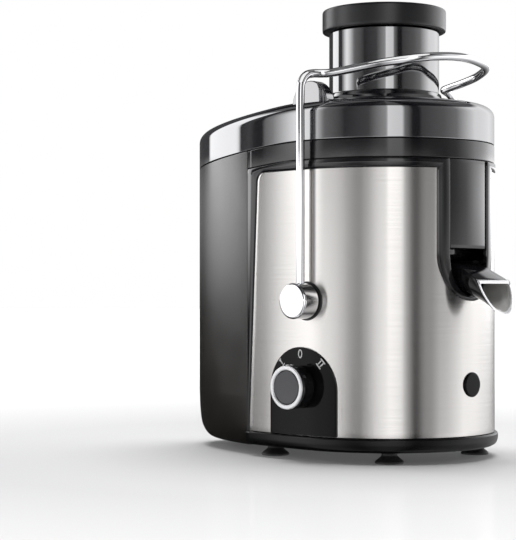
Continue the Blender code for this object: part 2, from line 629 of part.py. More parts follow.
# ---- drive -------------------------------------------------------------------------------
def build_drive():
    add_object("motor_shaft", rod(SHAFT_R, 0.0225, 0.1860), "iron")
    coupling = [(0.0043, 0.1650), (0.0095, 0.1650), (0.0115, 0.1680), (0.0115, 0.1900),
                (0.0095, 0.1925), (0.0, 0.1925), (0.0, 0.1865), (0.0043, 0.1865)]
    add_object("drive_coupling", turned(coupling, steps=18), "black_satin")
    add_object("shaft_seal", turned([(0.0043, 0.1588), (0.0099, 0.1588), (0.0099, 0.1618),
                                     (0.0043, 0.1618)], steps=18), "rubber")
    add_object("rotor", collar(0.0044, 0.0235, 0.0520, 0.0860, steps=20), "iron")
    add_object("commutator", collar(0.0044, 0.0110, 0.0360, 0.0480, steps=18), "copper")
    hub = add_object("cooling_fan", collar(0.0044, 0.0100, 0.0980, 0.1080, steps=18),
                     "black_satin")
    blades = [turned_about_z(box(0.0090, 0.0270, -0.0008, 0.0008, 0.0985, 0.1075),
                             2 * math.pi * i / 9) for i in range(9)]
    combine(hub, tool("add_blades", merged(blades)), "UNION")

    side, cut = 0.0360, 0.0240
    ring = [(side, -cut), (side, cut), (cut, side), (-cut, side), (-side, cut),
            (-side, -cut), (-cut, -side), (cut, -side)]
    stator = add_object("stator", extruded(ring, 0.0540, 0.0840, "Z"), "iron")
    holes = [rod(0.0245, 0.050, 0.090, steps=20)]
    holes += [rod(0.0024, 0.050, 0.090, (x, 0.0), 8) for x in (-0.0310, 0.0310)]
    combine(stator, tool("cut_stator", merged(holes)), "DIFFERENCE")

    add_object("lower_bearing", collar(0.0043, 0.0090, 0.0240, 0.0300), "iron")
    add_object("upper_bearing", collar(0.0043, 0.0090, 0.1190, 0.1250), "iron")
    low = [(0.0050, 0.0200), (0.0380, 0.0200), (0.0380, 0.0236), (0.0125, 0.0236),
           (0.0125, 0.0304), (0.0094, 0.0304), (0.0094, 0.0236), (0.0050, 0.0236)]
    high = [(0.0050, 0.1290), (0.0380, 0.1290), (0.0380, 0.1254), (0.0125, 0.1254),
            (0.0125, 0.1186), (0.0094, 0.1186), (0.0094, 0.1254), (0.0050, 0.1254)]
    for name, profile in (("lower_bracket", low), ("upper_bracket", high)):
        bracket = add_object(name, turned(profile, steps=20), "iron")
        bolts = merged([rod(0.0024, 0.010, 0.140, (x, 0.0), 8) for x in (-0.0310, 0.0310)])
        combine(bracket, tool("cut_" + name, bolts), "DIFFERENCE")
    bolt = [(0.0, 0.0168), (0.0040, 0.0168), (0.0040, 0.0196), (0.0020, 0.0196),
            (0.0020, 0.1335), (0.0, 0.1335)]
    for number, x in ((1, -0.0310), (2, 0.0310)):
        add_object(f"motor_bolt_{number}", turned(bolt, (x, 0.0), 8), "iron")
        reach = sorted((math.copysign(0.0114, x), math.copysign(0.0270, x)))
        add_object(f"brush_holder_{number}", box(*reach, -0.004, 0.004, 0.0370, 0.0470),
                   "copper")
    for number, (x, y) in enumerate(((-0.022, -0.022), (-0.022, 0.022), (0.028, 0.020),
                                     (0.028, -0.020)), 1):
        add_object(f"motor_mount_{number}", rod(0.0055, 0.1294, DECK_Z - 0.0004, (x, y), 14),
                   "rubber")


# ---- pulp container ----------------------------------------------------------------------
def build_container():
    front = BACK_X - 0.0010
    rim = LID_BOTTOM - FIT
    add_object("pulp_container", lofted([
        (-0.0200, 0.0060, 0), (-0.0080, 0.0100, 0), (-0.0014, 0.0270, 0), (0.0, 0.0500, 0),
        (0.0, rim - 0.0080, 1), (0.0012, rim - 0.0070, 1), (0.0012, rim - 0.0045, 1),
        (0.0, rim - 0.0035, 1), (0.0, rim, 1), (-0.0024, rim, 1), (-0.0024, 0.0500, 0),
        (-0.0040, 0.0285, 0), (-0.0104, 0.0122, 0), (-0.0210, 0.0086, 0)],
        front=front, count=18), "smoke")


def main():
    clear_scene()
    build_base()
    build_shell()
    build_gland()
    build_knob()
    build_arm()
    build_lid()
    build_bowl()
    build_drive()
    build_container()


main()
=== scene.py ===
"""Looks of the centrifugal juicer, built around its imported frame.

Shapes are laid out about the vertical spindle, in metres, and then moved to where the frame
has the spindle.  +X is the spout, -Y the control knob, -X the pulp container.
"""

import json
import math

import bmesh
import bpy
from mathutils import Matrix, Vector


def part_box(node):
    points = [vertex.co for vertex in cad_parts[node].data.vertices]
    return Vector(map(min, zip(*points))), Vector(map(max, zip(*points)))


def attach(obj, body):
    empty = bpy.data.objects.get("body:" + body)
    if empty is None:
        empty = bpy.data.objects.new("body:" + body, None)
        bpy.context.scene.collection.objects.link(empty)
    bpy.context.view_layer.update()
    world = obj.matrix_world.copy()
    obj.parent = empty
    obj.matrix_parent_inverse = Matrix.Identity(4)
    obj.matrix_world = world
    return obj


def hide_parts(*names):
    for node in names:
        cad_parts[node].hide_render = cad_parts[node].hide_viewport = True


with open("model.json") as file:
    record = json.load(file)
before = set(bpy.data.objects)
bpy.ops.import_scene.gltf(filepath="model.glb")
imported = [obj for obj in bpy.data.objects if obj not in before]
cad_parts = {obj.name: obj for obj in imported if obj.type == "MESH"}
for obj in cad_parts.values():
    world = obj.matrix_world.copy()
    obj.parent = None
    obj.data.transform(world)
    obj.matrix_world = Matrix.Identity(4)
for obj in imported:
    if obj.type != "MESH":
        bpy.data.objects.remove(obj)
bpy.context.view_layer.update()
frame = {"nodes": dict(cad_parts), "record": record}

# ---- sizes taken from the frame ----------------------------------------------------------
CAP_LOW, CAP_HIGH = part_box("pusher_cap")
AXIS = Vector(((CAP_LOW.x + CAP_HIGH.x) / 2, (CAP_LOW.y + CAP_HIGH.y) / 2, 0.0))


def spindle_box(node):
    """A node's corners, measured from the spindle."""
    low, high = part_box(node)
    return low - AXIS, high - AXIS


LID_LOW, LID_HIGH = spindle_box("lid")
HOUSING_LOW, HOUSING_HIGH = spindle_box("motor_housing")
STEEL_LOW, STEEL_HIGH = spindle_box("steel_panel")
SKIRT_LOW, SKIRT_HIGH = spindle_box("base_skirt")
POT_LOW, POT_HIGH = spindle_box("pulp_container")
HUB_LOW, HUB_HIGH = spindle_box("arm_hub_right")
KNOB_LOW, KNOB_HIGH = spindle_box("knob_body")
PANEL_LOW, PANEL_HIGH = spindle_box("knob_panel")
BADGE_LOW, BADGE_HIGH = spindle_box("front_badge")

BODY_R = LID_HIGH.y                       # half width, and radius of the round front
TAIL_LEN = -LID_LOW.x                     # spindle to the rear end
BACK_X = HOUSING_LOW.x                    # flat rear of the body
HOUSING_TOP = HOUSING_HIGH.z
STEEL_BOTTOM, STEEL_TOP = STEEL_LOW.z, STEEL_HIGH.z
SKIRT_TOP = SKIRT_HIGH.z
FOOT_TOP = SKIRT_LOW.z
CHUTE_TOP = LID_HIGH.z
CHUTE_BOTTOM = LID_LOW.z
CAP_R, CAP_BOTTOM, CAP_TOP = (CAP_HIGH.x - CAP_LOW.x) / 2, CAP_LOW.z, CAP_HIGH.z
PIVOT_X, PIVOT_Z = (HUB_LOW.x + HUB_HIGH.x) / 2, (HUB_LOW.z + HUB_HIGH.z) / 2
HUB_R = (HUB_HIGH.x - HUB_LOW.x) / 2
HUB_INNER_Y, HUB_OUTER_Y = -HUB_HIGH.y, -HUB_LOW.y
KNOB_X, KNOB_Z = (KNOB_LOW.x + KNOB_HIGH.x) / 2, (KNOB_LOW.z + KNOB_HIGH.z) / 2
KNOB_R = (KNOB_HIGH.x - KNOB_LOW.x) / 2
KNOB_BACK_Y, KNOB_FRONT_Y = -KNOB_HIGH.y, -KNOB_LOW.y
BADGE_R, BADGE_Z = (BADGE_HIGH.z - BADGE_LOW.z) / 2, (BADGE_HIGH.z + BADGE_LOW.z) / 2

# ---- sizes of the visible detail ---------------------------------------------------------
DROOP_START, DROOP_SLOPE, DROOP_BEND = -0.030, 0.075, 0.020
LID_BOTTOM, LID_TOP = 0.2580, 0.2910
RING_BOTTOM, RING_TOP = 0.2426, 0.2576
CHUTE_R, BORE_R = 0.0460, 0.0425
STEEL_REAR_X, STEEL_LEAN, STEEL_CORNER = -0.0625, 0.0545, 0.0080
FRAME_HALF_W, FRAME_BOTTOM = 0.0358, 0.1290
RECESS_HALF_W, RECESS_BOTTOM, U_START = 0.0243, 0.1325, 0.1660
GROOVE = 0.0014                           # dark gap between the steel and its surround
ROD_R, ROD_Y = 0.0034, 0.0995
CUP_R, DECK_Z = 0.0730, 0.1595
STEEL_FACE = 0.0003                       # how far the steel stands past the body outline
LUG_X, LUG_R, LUG_BOTTOM, LUG_TOP = -0.0058, 0.0188, 0.2860, 0.3064
LUG_INNER_Y, LUG_OUTER_Y = 0.0765, 0.0862
ARCH_Z = 0.0570                           # where the knob panel's sides turn into its arch
PANEL_FACE = 0.0017                       # how far the knob panel stands past the outline
COLUMNS = 160                             # points round the body outline
TURN = 96                                 # sides of the turned pieces


# ---- outlines ----------------------------------------------------------------------------
def droop(x):
    """How far the rear of the lid and rim has dropped at x, with a soft bend."""
    ahead = x - DROOP_START
    if ahead >= DROOP_BEND:
        return 0.0
    if ahead <= -DROOP_BEND:
        return DROOP_SLOPE * ahead
    return -DROOP_SLOPE * (ahead - DROOP_BEND) ** 2 / (4 * DROOP_BEND)


def outline(t, offset=0.0):
    """Plan of the body: a half circle in front, half an ellipse behind."""
    length = (BODY_R if math.cos(t) > 0 else TAIL_LEN) + offset
    return length * math.cos(t), (BODY_R + offset) * math.sin(t)


def angle_at_x(x, offset=0.0):
    return math.acos(x / (TAIL_LEN + offset if x < 0 else BODY_R + offset))


def angle_at_y(y, offset=0.0):
    return math.asin(y / (BODY_R + offset))


def on_body(t, z, offset=0.0):
    x, y = outline(t, offset)
    return Vector((x, y, z))


def spaced(low, high, count):
    return [low + (high - low) * i / (count - 1) for i in range(count)]


def whole_row(offset, z, share=1.0):
    """A closed row right round the body outline."""
    row = []
    for t in spaced(-math.pi, math.pi, COLUMNS + 1)[:-1]:
        x, y = outline(t, offset)
        row.append((x, y, z + share * droop(x)))
    return row


def circle_row(radius, z, share=0.0):
    """A round row about the spindle, whose points face those of whole_row."""
    row = []
    for x, y, _ in whole_row(0.0, 0.0, 0.0):
        reach = math.hypot(x, y)
        x, y = radius * x / reach, radius * y / reach
        row.append((x, y, z + share * droop(x)))
    return row


def front_row(offset, z, rear=BACK_X, share=0.0, count=COLUMNS):
    """A row round the front of the outline, from the rear edge on one side to the other."""
    end = angle_at_x(rear + max(0.0, -offset), offset)
    row = []
    for t in spaced(-end, end, count):
        x, y = outline(t, offset)
        row.append((x, y, z + share * droop(x)))
    return row


def rear_row(offset, z, front, share=0.0, count=COLUMNS):
    """A row round the rear of the outline, behind the given x."""
    start = angle_at_x(front - max(0.0, -offset), offset)
    row = []
    for t in spaced(start, 2 * math.pi - start, count):
        x, y = outline(t, offset)
        row.append((x, y, z + share * droop(x)))
    return row


def rounded(points, radius, steps=4, closed=True):
    """Round the corners of a polyline of any dimension."""
    result = []
    count = len(points)
    for i, corner in enumerate(points):
        corner = Vector(corner)
        if not closed and i in (0, count - 1):
            result.append(corner)
            continue
        before, after = Vector(points[i - 1]) - corner, Vector(points[(i + 1) % count]) - corner
        start = corner + before * min(0.45, radius / before.length)
        end = corner + after * min(0.45, radius / after.length)
        for k in range(steps + 1):
            s = k / steps
            result.append(start * (1 - s) ** 2 + corner * 2 * s * (1 - s) + end * s * s)
    return result


def smooth_path(points, pieces):
    """Catmull-Rom points through the given ones."""
    path = []
    padded = [points[0]] + list(points) + [points[-1]]
    for a, b, c, d in zip(padded, padded[1:], padded[2:], padded[3:]):
        a, b, c, d = Vector(a), Vector(b), Vector(c), Vector(d)
        for i in range(pieces):
            t = i / pieces
            path.append(0.5 * (2 * b + (c - a) * t + (2 * a - 5 * b + 4 * c - d) * t * t
                               + (3 * b - 3 * c + d - a) * t ** 3))
    return path + [Vector(points[-1])]


# ---- meshes ------------------------------------------------------------------------------
def bridge(bm, row, following, closed=True):
    if len(row) == 1 and len(following) == 1:
        return
    steps = max(len(row), len(following))
    for i in range(steps if closed else steps - 1):
        j = (i + 1) % steps
        corners = [row[i % len(row)], row[j % len(row)],
                   following[j % len(following)], following[i % len(following)]]
        bm.faces.new(list(dict.fromkeys(corners)))


def skin(rows, closed=True, looped=False, capped=False):
    """Faces between neighbouring rows; capped fills the first and last row."""
    bm = bmesh.new()
    rings = [[bm.verts.new(point) for point in row] for row in rows]
    pairs = list(zip(rings, rings[1:]))
    if looped:
        pairs.append((rings[-1], rings[0]))
    for row, following in pairs:
        bridge(bm, row, following, closed)
    if capped:
        for ring in (rings[0], rings[-1]):
            half = len(ring) // 2
            for i in range(half):
                corners = [ring[i], ring[i + 1], ring[-2 - i], ring[-1 - i]]
                if len(set(corners)) > 2:
                    bm.faces.new(list(dict.fromkeys(corners)))
    return bm


def turned(profile, centre=(0.0, 0.0), axis="Z", steps=TURN, looped=True):
    """Revolve (radius, height) points; a radius of 0 is a point on the axis."""
    rows = []
    for radius, height in profile:
        row = []
        for i in range(1 if radius < 1e-7 else steps):
            angle = 2 * math.pi * i / steps
            across, up = radius * math.cos(angle), radius * math.sin(angle)
            row.append((centre[0] + across, centre[1] + up, height) if axis == "Z"
                       else (centre[0] + across, height, centre[1] + up))
        rows.append(row)
    return skin(rows, looped=looped)


def extruded(points, low, high, axis):
    """Push a polygon of (a, b) points from low to high along X, Y or Z."""
    place = {"X": lambda a, b, c: (c, a, b), "Y": lambda a, b, c: (a, c, b),
             "Z": lambda a, b, c: (a, b, c)}[axis]
    bm = bmesh.new()
    rows = [[bm.verts.new(place(a, b, c)) for a, b in points] for c in (low, high)]
    bridge(bm, *rows)
    for row in rows:
        bm.faces.new(row)
    return bm


def joined(parts):
    whole = bmesh.new()
    for part in parts:
        mesh = bpy.data.meshes.new("scrap")
        part.to_mesh(mesh)
        part.free()
        whole.from_mesh(mesh)
        bpy.data.meshes.remove(mesh)
    return whole


def piece(name, bm, body, slot, replaces=(), finish=None, solidify=0.0, bevel=0.0, even=True):
    """Make an object of the bmesh, give it its finish and hang it on its body."""
    bmesh.ops.remove_doubles(bm, verts=bm.verts, dist=1e-6)
    bmesh.ops.recalc_face_normals(bm, faces=bm.faces)
    mesh = bpy.data.meshes.new(name)
    bm.to_mesh(mesh)
    bm.free()
    mesh.shade_smooth()
    obj = bpy.data.objects.new(name, mesh)
    bpy.context.scene.collection.objects.link(obj)
    obj.location = AXIS
    mesh.materials.append(FINISHES[finish or slot])
    if solidify:
        mod = obj.modifiers.new("thickness", "SOLIDIFY")
        mod.thickness = solidify
        mod.offset = -1.0
    if bevel:
        mod = obj.modifiers.new("edges", "BEVEL")
        mod.width = bevel
        mod.segments = 3
        mod.limit_method = "ANGLE"
        mod.angle_limit = math.radians(40)
        mod.harden_normals = False
    if even:
        mod = obj.modifiers.new("normals", "WEIGHTED_NORMAL")
        mod.keep_sharp = True
        mod.weight = 80
    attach(obj, body)
    if replaces:
        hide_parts(*replaces)
    return obj


# ---- materials ---------------------------------------------------------------------------
def noise(tree, scale, detail, stretch=(1.0, 1.0, 1.0)):
    """Noise in the object's own coordinates, stretched along the axes."""
    nodes, links = tree.nodes, tree.links
    place = nodes.new("ShaderNodeTexCoord")
    mapping = nodes.new("ShaderNodeMapping")
    mapping.inputs["Scale"].default_value = stretch
    texture = nodes.new("ShaderNodeTexNoise")
    texture.inputs["Scale"].default_value = scale
    texture.inputs["Detail"].default_value = detail
    texture.inputs["Roughness"].default_value = 0.6
    links.new(place.outputs["Object"], mapping.inputs["Vector"])
    links.new(mapping.outputs["Vector"], texture.inputs["Vector"])
    return texture.outputs["Fac"]


def ranged(tree, value, low, high, start=0.3, end=0.7):
    node = tree.nodes.new("ShaderNodeMapRange")
    for socket, number in (("From Min", start), ("From Max", end), ("To Min", low),
                           ("To Max", high)):
        node.inputs[socket].default_value = number
    tree.links.new(value, node.inputs["Value"])
    return node.outputs["Result"]


def tinted(tree, value, dark, light):
    ramp = tree.nodes.new("ShaderNodeValToRGB")
    ramp.color_ramp.elements[0].position = 0.3
    ramp.color_ramp.elements[1].position = 0.7
    ramp.color_ramp.elements[0].color = (*dark, 1.0)
    ramp.color_ramp.elements[1].color = (*light, 1.0)
    tree.links.new(value, ramp.inputs["Fac"])
    return ramp.outputs["Color"]


def bumped(tree, value, strength, depth, normal=None):
    node = tree.nodes.new("ShaderNodeBump")
    node.inputs["Strength"].default_value = strength
    node.inputs["Distance"].default_value = depth
    tree.links.new(value, node.inputs["Height"])
    if normal is not None:
        tree.links.new(normal, node.inputs["Normal"])
    return node.outputs["Normal"]


def make_finish(name, dark, light, rough, metallic=0.0, ior=1.5, grain=(900.0, 0.04, 0.00004),
                stretch=(1.0, 1.0, 1.0), wave=(0.0, 0.0), brushed=0.0, mottle=14.0):
    """One plastic, metal or rubber: colour drift, uneven gloss, fine grain, faint waviness."""
    mat = bpy.data.materials.new(name)
    mat.use_nodes = True
    tree = mat.node_tree
    shader = tree.nodes["Principled BSDF"]
    shader.inputs["Metallic"].default_value = metallic
    shader.inputs["IOR"].default_value = ior
    broad = noise(tree, mottle, 5.0)
    fine = noise(tree, grain[0], 3.0, stretch)
    drift = fine if brushed else broad
    tree.links.new(tinted(tree, drift, dark, light), shader.inputs["Base Color"])
    tree.links.new(ranged(tree, drift, *rough), shader.inputs["Roughness"])
    normal = bumped(tree, fine, grain[1], grain[2])
    if wave[1]:
        normal = bumped(tree, noise(tree, wave[0], 1.0), 1.0, wave[1], normal)
    tree.links.new(normal, shader.inputs["Normal"])
    if brushed:
        shader.inputs["Anisotropic"].default_value = brushed
        shader.inputs["Anisotropic Rotation"].default_value = 0.25
        tangent = tree.nodes.new("ShaderNodeTangent")
        tangent.direction_type = "RADIAL"
        tangent.axis = "Z"
        tree.links.new(tangent.outputs["Tangent"], shader.inputs["Tangent"])
    return mat


ROUND_BRUSH = (0.012, 0.012, 3.2)         # long round the body, fine up and down
FINISHES = {
    "lid_gloss": make_finish(
        "lid_gloss", (0.006, 0.006, 0.008), (0.010, 0.010, 0.013), (0.015, 0.04), ior=3.2,
        grain=(1400.0, 0.10, 0.00001), wave=(18.0, 0.00002)),
    "black_gloss": make_finish(
        "black_gloss", (0.006, 0.006, 0.007), (0.009, 0.009, 0.010), (0.06, 0.11), ior=1.55,
        grain=(1400.0, 0.10, 0.00001), wave=(18.0, 0.00002)),
    "black_satin": make_finish(
        "black_satin", (0.012, 0.012, 0.013), (0.020, 0.020, 0.021), (0.34, 0.44),
        grain=(2200.0, 0.35, 0.00003)),
    "cap_black": make_finish(
        "cap_black", (0.006, 0.006, 0.007), (0.010, 0.010, 0.011), (0.26, 0.34), ior=1.5,
        grain=(1800.0, 0.30, 0.00003)),
    "spout_black": make_finish(
        "spout_black", (0.004, 0.004, 0.005), (0.007, 0.007, 0.008), (0.04, 0.09), ior=1.45,
        grain=(1400.0, 0.10, 0.00001), wave=(18.0, 0.00002)),
    "panel_black": make_finish(
        "panel_black", (0.003, 0.003, 0.003), (0.005, 0.005, 0.005), (0.05, 0.09), ior=1.20,
        grain=(1400.0, 0.10, 0.00001), wave=(18.0, 0.00002)),
    "frame_black": make_finish(
        "frame_black", (0.005, 0.005, 0.006), (0.008, 0.008, 0.009), (0.05, 0.09), ior=1.56,
        grain=(1800.0, 0.30, 0.00002)),
    "skirt_black": make_finish(
        "skirt_black", (0.003, 0.003, 0.003), (0.006, 0.006, 0.006), (0.14, 0.22), ior=1.28,
        grain=(1600.0, 0.30, 0.00002)),
    "smoke": make_finish(
        "smoke", (0.012, 0.0105, 0.0085), (0.018, 0.016, 0.0130), (0.16, 0.22), ior=1.7,
        grain=(1600.0, 0.40, 0.00003), wave=(9.0, 0.00004)),
    "dark_grey": make_finish(
        "dark_grey", (0.045, 0.045, 0.050), (0.060, 0.060, 0.066), (0.32, 0.42),
        grain=(2000.0, 0.40, 0.00003)),
    "silver": make_finish(
        "silver", (0.72, 0.72, 0.73), (0.82, 0.82, 0.83), (0.20, 0.30), metallic=0.35,
        grain=(2600.0, 0.15, 0.00001)),
    "liner_grey": make_finish(
        "liner_grey", (0.40, 0.395, 0.38), (0.48, 0.475, 0.455), (0.14, 0.22), metallic=0.35,
        grain=(2600.0, 0.15, 0.00001)),
    "chrome": make_finish(
        "chrome", (0.76, 0.76, 0.77), (0.84, 0.84, 0.85), (0.03, 0.09), metallic=1.0,
        grain=(700.0, 0.03, 0.00001), wave=(40.0, 0.00001)),
    "steel": make_finish(
        "steel", (0.54, 0.525, 0.505), (0.62, 0.605, 0.585), (0.17, 0.22), metallic=1.0,
        grain=(900.0, 0.13, 0.00001), stretch=ROUND_BRUSH, brushed=0.95),
    "rubber": make_finish(
        "rubber", (0.008, 0.008, 0.008), (0.014, 0.014, 0.014), (0.50, 0.70),
        grain=(1500.0, 0.50, 0.00005)),
    "iron": make_finish(
        "iron", (0.24, 0.24, 0.25), (0.36, 0.36, 0.37), (0.30, 0.55), metallic=1.0,
        grain=(800.0, 0.30, 0.00004), mottle=60.0),
    "copper": make_finish(
        "copper", (0.55, 0.27, 0.15), (0.75, 0.42, 0.25), (0.22, 0.42), metallic=1.0,
        grain=(900.0, 0.20, 0.00003), mottle=60.0),
    "mark_white": make_finish(
        "mark_white", (0.60, 0.60, 0.60), (0.72, 0.72, 0.72), (0.40, 0.50),
        grain=(2600.0, 0.20, 0.00001)),
}


def finish_carried_nodes():
    """Every node of the frame gets the finish of its slot."""
    for part in frame["record"]["subparts"]:
        obj = frame["nodes"][part["node"]]
        for slot in obj.material_slots:
            slot.material = FINISHES[part["material_slot"]]


# ---- base --------------------------------------------------------------------------------
def build_base():
    profile = rounded([(-0.0065, FOOT_TOP), (-0.0025, FOOT_TOP), (0.0016, 0.0112),
                       (0.0030, 0.0150), (0.0030, SKIRT_TOP), (-0.0040, SKIRT_TOP)], 0.0014)
    rows = [front_row(offset, z) for offset, z in profile]
    piece("base_skirt_ring", skin(rows, looped=True), "base", "black_gloss", ["base_skirt"],
          finish="skirt_black")

    for number in (1, 2, 3, 4):
        low, high = spindle_box(f"suction_foot_{number}")
        centre = ((low.x + high.x) / 2, (low.y + high.y) / 2)
        sole = (high.x - low.x) / 2
        foot = [(0.0, 0.0012), (sole - 0.0030, 0.0012), (sole - 0.0008, 0.0), (sole, 0.0006),
                (sole - 0.0004, 0.0020), (0.0082, 0.0046), (0.0064, 0.0062),
                (0.0064, 0.0084), (0.0090, 0.0092), (0.0092, 0.0104), (0.0, 0.0104)]
        bm = turned(rounded(foot, 0.0007, 3, closed=False), centre, steps=48, looped=False)
        piece(f"foot_{number}", bm, "base", "rubber", [f"suction_foot_{number}"])


# ---- steel sheet and its black surround --------------------------------------------------
def steel_edge_x(z):
    """Rear edge of the steel: it leans back towards the base and has a round top corner."""
    corner_z = STEEL_TOP - STEEL_CORNER
    if z <= corner_z:
        return STEEL_REAR_X - STEEL_LEAN * (corner_z - z)
    return STEEL_REAR_X + STEEL_CORNER - math.sqrt(max(0.0, STEEL_CORNER ** 2
                                                       - (z - corner_z) ** 2))


def u_half_width(z, half_w, bottom):
    if z <= bottom:
        return 0.0
    if z >= U_START:
        return half_w
    return half_w * math.sqrt(1.0 - ((U_START - z) / (U_START - bottom)) ** 2)


def steel_levels():
    levels = spaced(STEEL_BOTTOM, FRAME_BOTTOM, 26)
    depth = U_START - FRAME_BOTTOM
    levels += [U_START - depth * math.cos(a) for a in spaced(0.0, math.pi / 2, 18)[1:]]
    corner_z = STEEL_TOP - STEEL_CORNER
    levels += spaced(U_START, corner_z, 14)[1:]
    levels += [corner_z + STEEL_CORNER * math.sin(a) for a in spaced(0, math.pi / 2, 9)[1:]]
    return levels


def build_steel():
    halves = []
    for side in (-1, 1):
        rows = []
        for z in steel_levels():
            front = angle_at_y(u_half_width(z, FRAME_HALF_W, FRAME_BOTTOM))
            rear = angle_at_x(steel_edge_x(z))
            rows.append([on_body(side * t, z, STEEL_FACE) for t in spaced(front, rear, 72)])
        halves.append(skin(rows, closed=False))
    piece("steel_sheet", joined(halves), "base", "steel", ["steel_panel"],
          solidify=0.0012, bevel=0.0004, even=False)


def surround_paths():
    """Matched points (angle, z) along the steel's edge and along the surround's far edge."""
    corner_x, corner_z = STEEL_REAR_X + STEEL_CORNER, STEEL_TOP - STEEL_CORNER
    back, top = BACK_X + 0.0002, HOUSING_TOP - 0.0001
    inner, outer = [], []
    for z in spaced(SKIRT_TOP + 0.0004, corner_z, 30):
        inner.append((angle_at_x(steel_edge_x(z)), z))
        outer.append((angle_at_x(back), z))
    for i, a in enumerate(spaced(math.pi, math.pi / 2, 9)[1:], 1):
        x, z = corner_x + STEEL_CORNER * math.cos(a), corner_z + STEEL_CORNER * math.sin(a)
        inner.append((angle_at_x(x), z))
        up, along = min(1.0, i / 4), max(0.0, (i - 4) / 4)
        x = back + (corner_x - back) * along
        limit = top + droop(x)
        outer.append((angle_at_x(x), corner_z + (limit - corner_z) * up))
    steel_t, recess_t = angle_at_y(FRAME_HALF_W), angle_at_y(RECESS_HALF_W)
    start = angle_at_x(corner_x)
    for s in spaced(0.0, 1.0, 60)[1:]:
        t_in, t_out = start + (steel_t - start) * s, start + (recess_t - start) * s
        inner.append((t_in, STEEL_TOP))
        outer.append((t_out, top + droop(outline(t_out)[0])))
    for s in spaced(0.0, 1.0, 24)[1:]:
        inner.append((steel_t, STEEL_TOP + (U_START - STEEL_TOP) * s))
        outer.append((recess_t, top + (U_START - top) * s))
    for a in spaced(math.pi / 2, 0.0, 22)[1:]:
        inner.append((angle_at_y(FRAME_HALF_W * math.sin(a)),
                      U_START - (U_START - FRAME_BOTTOM) * math.cos(a)))
        outer.append((angle_at_y(RECESS_HALF_W * math.sin(a)),
                      U_START - (U_START - RECESS_BOTTOM) * math.cos(a)))
    return inner, outer


def build_surround():
    halves = []
    for side in (-1, 1):
        rows = []
        for (t_in, z_in), (t_out, z_out) in zip(*surround_paths()):
            start, end = on_body(t_in, z_in), on_body(t_out, z_out)
            width = max((end - start).length, 0.0024)
            groove = min(GROOVE, 0.4 * width)
            lip = 0.0006
            columns = [(0.0, -0.0010), (0.0, 0.0001), (groove, 0.0001),
                       (groove + 0.0002, 0.0007), (groove + lip, 0.0009),
                       (groove + (width - groove) * 0.5, 0.0009), (width - lip, 0.0009),
                       (width - 0.0002, 0.0007), (width, 0.0001), (width, -0.0010)]
            row = []
            for reach, lift in columns:
                s = reach / width
                t, z = t_in + (t_out - t_in) * s, z_in + (z_out - z_in) * s
                row.append(on_body(side * t, z, lift))
            rows.append(row)
        halves.append(skin(rows, closed=False))
    piece("steel_surround", joined(halves), "base", "black_gloss", finish="frame_black",
          even=False)


def build_gland():
    low, high = spindle_box("cord_gland")
    centre = ((low.x + high.x) / 2, (low.z + high.z) / 2)
    profile = rounded([(0.0032, low.y), (0.0060, low.y), (0.0060, 0.0924), (0.0080, 0.0924),
                       (0.0076, 0.0942), (0.0062, high.y), (0.0032, high.y)], 0.0005)
    piece("cable_entry", turned(profile, centre, "Y", 48), "base", "rubber", ["cord_gland"])


# ---- bowl, outlet and spout --------------------------------------------------------------
def build_bowl():
    profile = rounded([(-0.0060, RING_BOTTOM), (0.0, RING_BOTTOM), (0.0, RING_TOP),
                       (-0.0060, RING_TOP)], 0.0008)
    rows = [front_row(offset, z, share=1.0) for offset, z in profile]
    piece("bowl_rim", skin(rows, looped=True), "base", "black_gloss", ["juice_bowl"],
          finish="frame_black")

    cup = rounded([(0.0132, DECK_Z + 0.0029), (CUP_R - 0.004, DECK_Z + 0.0029),
                   (CUP_R, 0.1665), (CUP_R, 0.2450), (CUP_R - 0.002, 0.2450),
                   (CUP_R - 0.002, 0.1685), (CUP_R - 0.0055, 0.1655), (0.0155, 0.1655),
                   (0.0155, 0.1745), (0.0132, 0.1745)], 0.0008)
    piece("bowl_cup", turned(cup), "base", "black_gloss")
    flange = [front_row(offset, z, share=1.0) for offset, z in
              ((-0.0055, 0.2440), (-0.0055, 0.2385))]
    piece("bowl_flange", skin(flange, capped=True), "base", "black_gloss")

    half_w, low, high = 0.0236, 0.1710, RING_BOTTOM - 0.0002
    rows = [[on_body(angle_at_y(y), z, -0.0006) for y in spaced(-half_w, half_w, 41)]
            for z in spaced(low, high, 24)]
    piece("outlet_cover", skin(rows, closed=False), "base", "black_gloss", solidify=0.0030,
          bevel=0.0007, even=False)


# station x, half width, roof and floor of the spout's outside
SPOUT = [(0.0520, 0.0150, 0.1600, 0.1400), (0.0700, 0.0150, 0.1600, 0.1385),
         (0.0880, 0.0165, 0.1590, 0.1355), (0.0925, 0.0175, 0.1568, 0.1345),
         (0.1020, 0.0190, 0.1516, 0.1304), (0.1100, 0.0204, 0.1472, 0.1270),
         (0.1190, 0.0210, 0.1422, 0.1216), (0.1330, 0.0210, 0.1345, 0.1105)]
MOUTH_X, MOUTH_Z, MOUTH_LEAN = 0.1136, 0.1452, 0.411   # the open end leans out at its foot
LINER_START = 0.0925                      # where the pale inside takes over from the black
RIM = 0.0010                              # how far the pale rim stands past the black


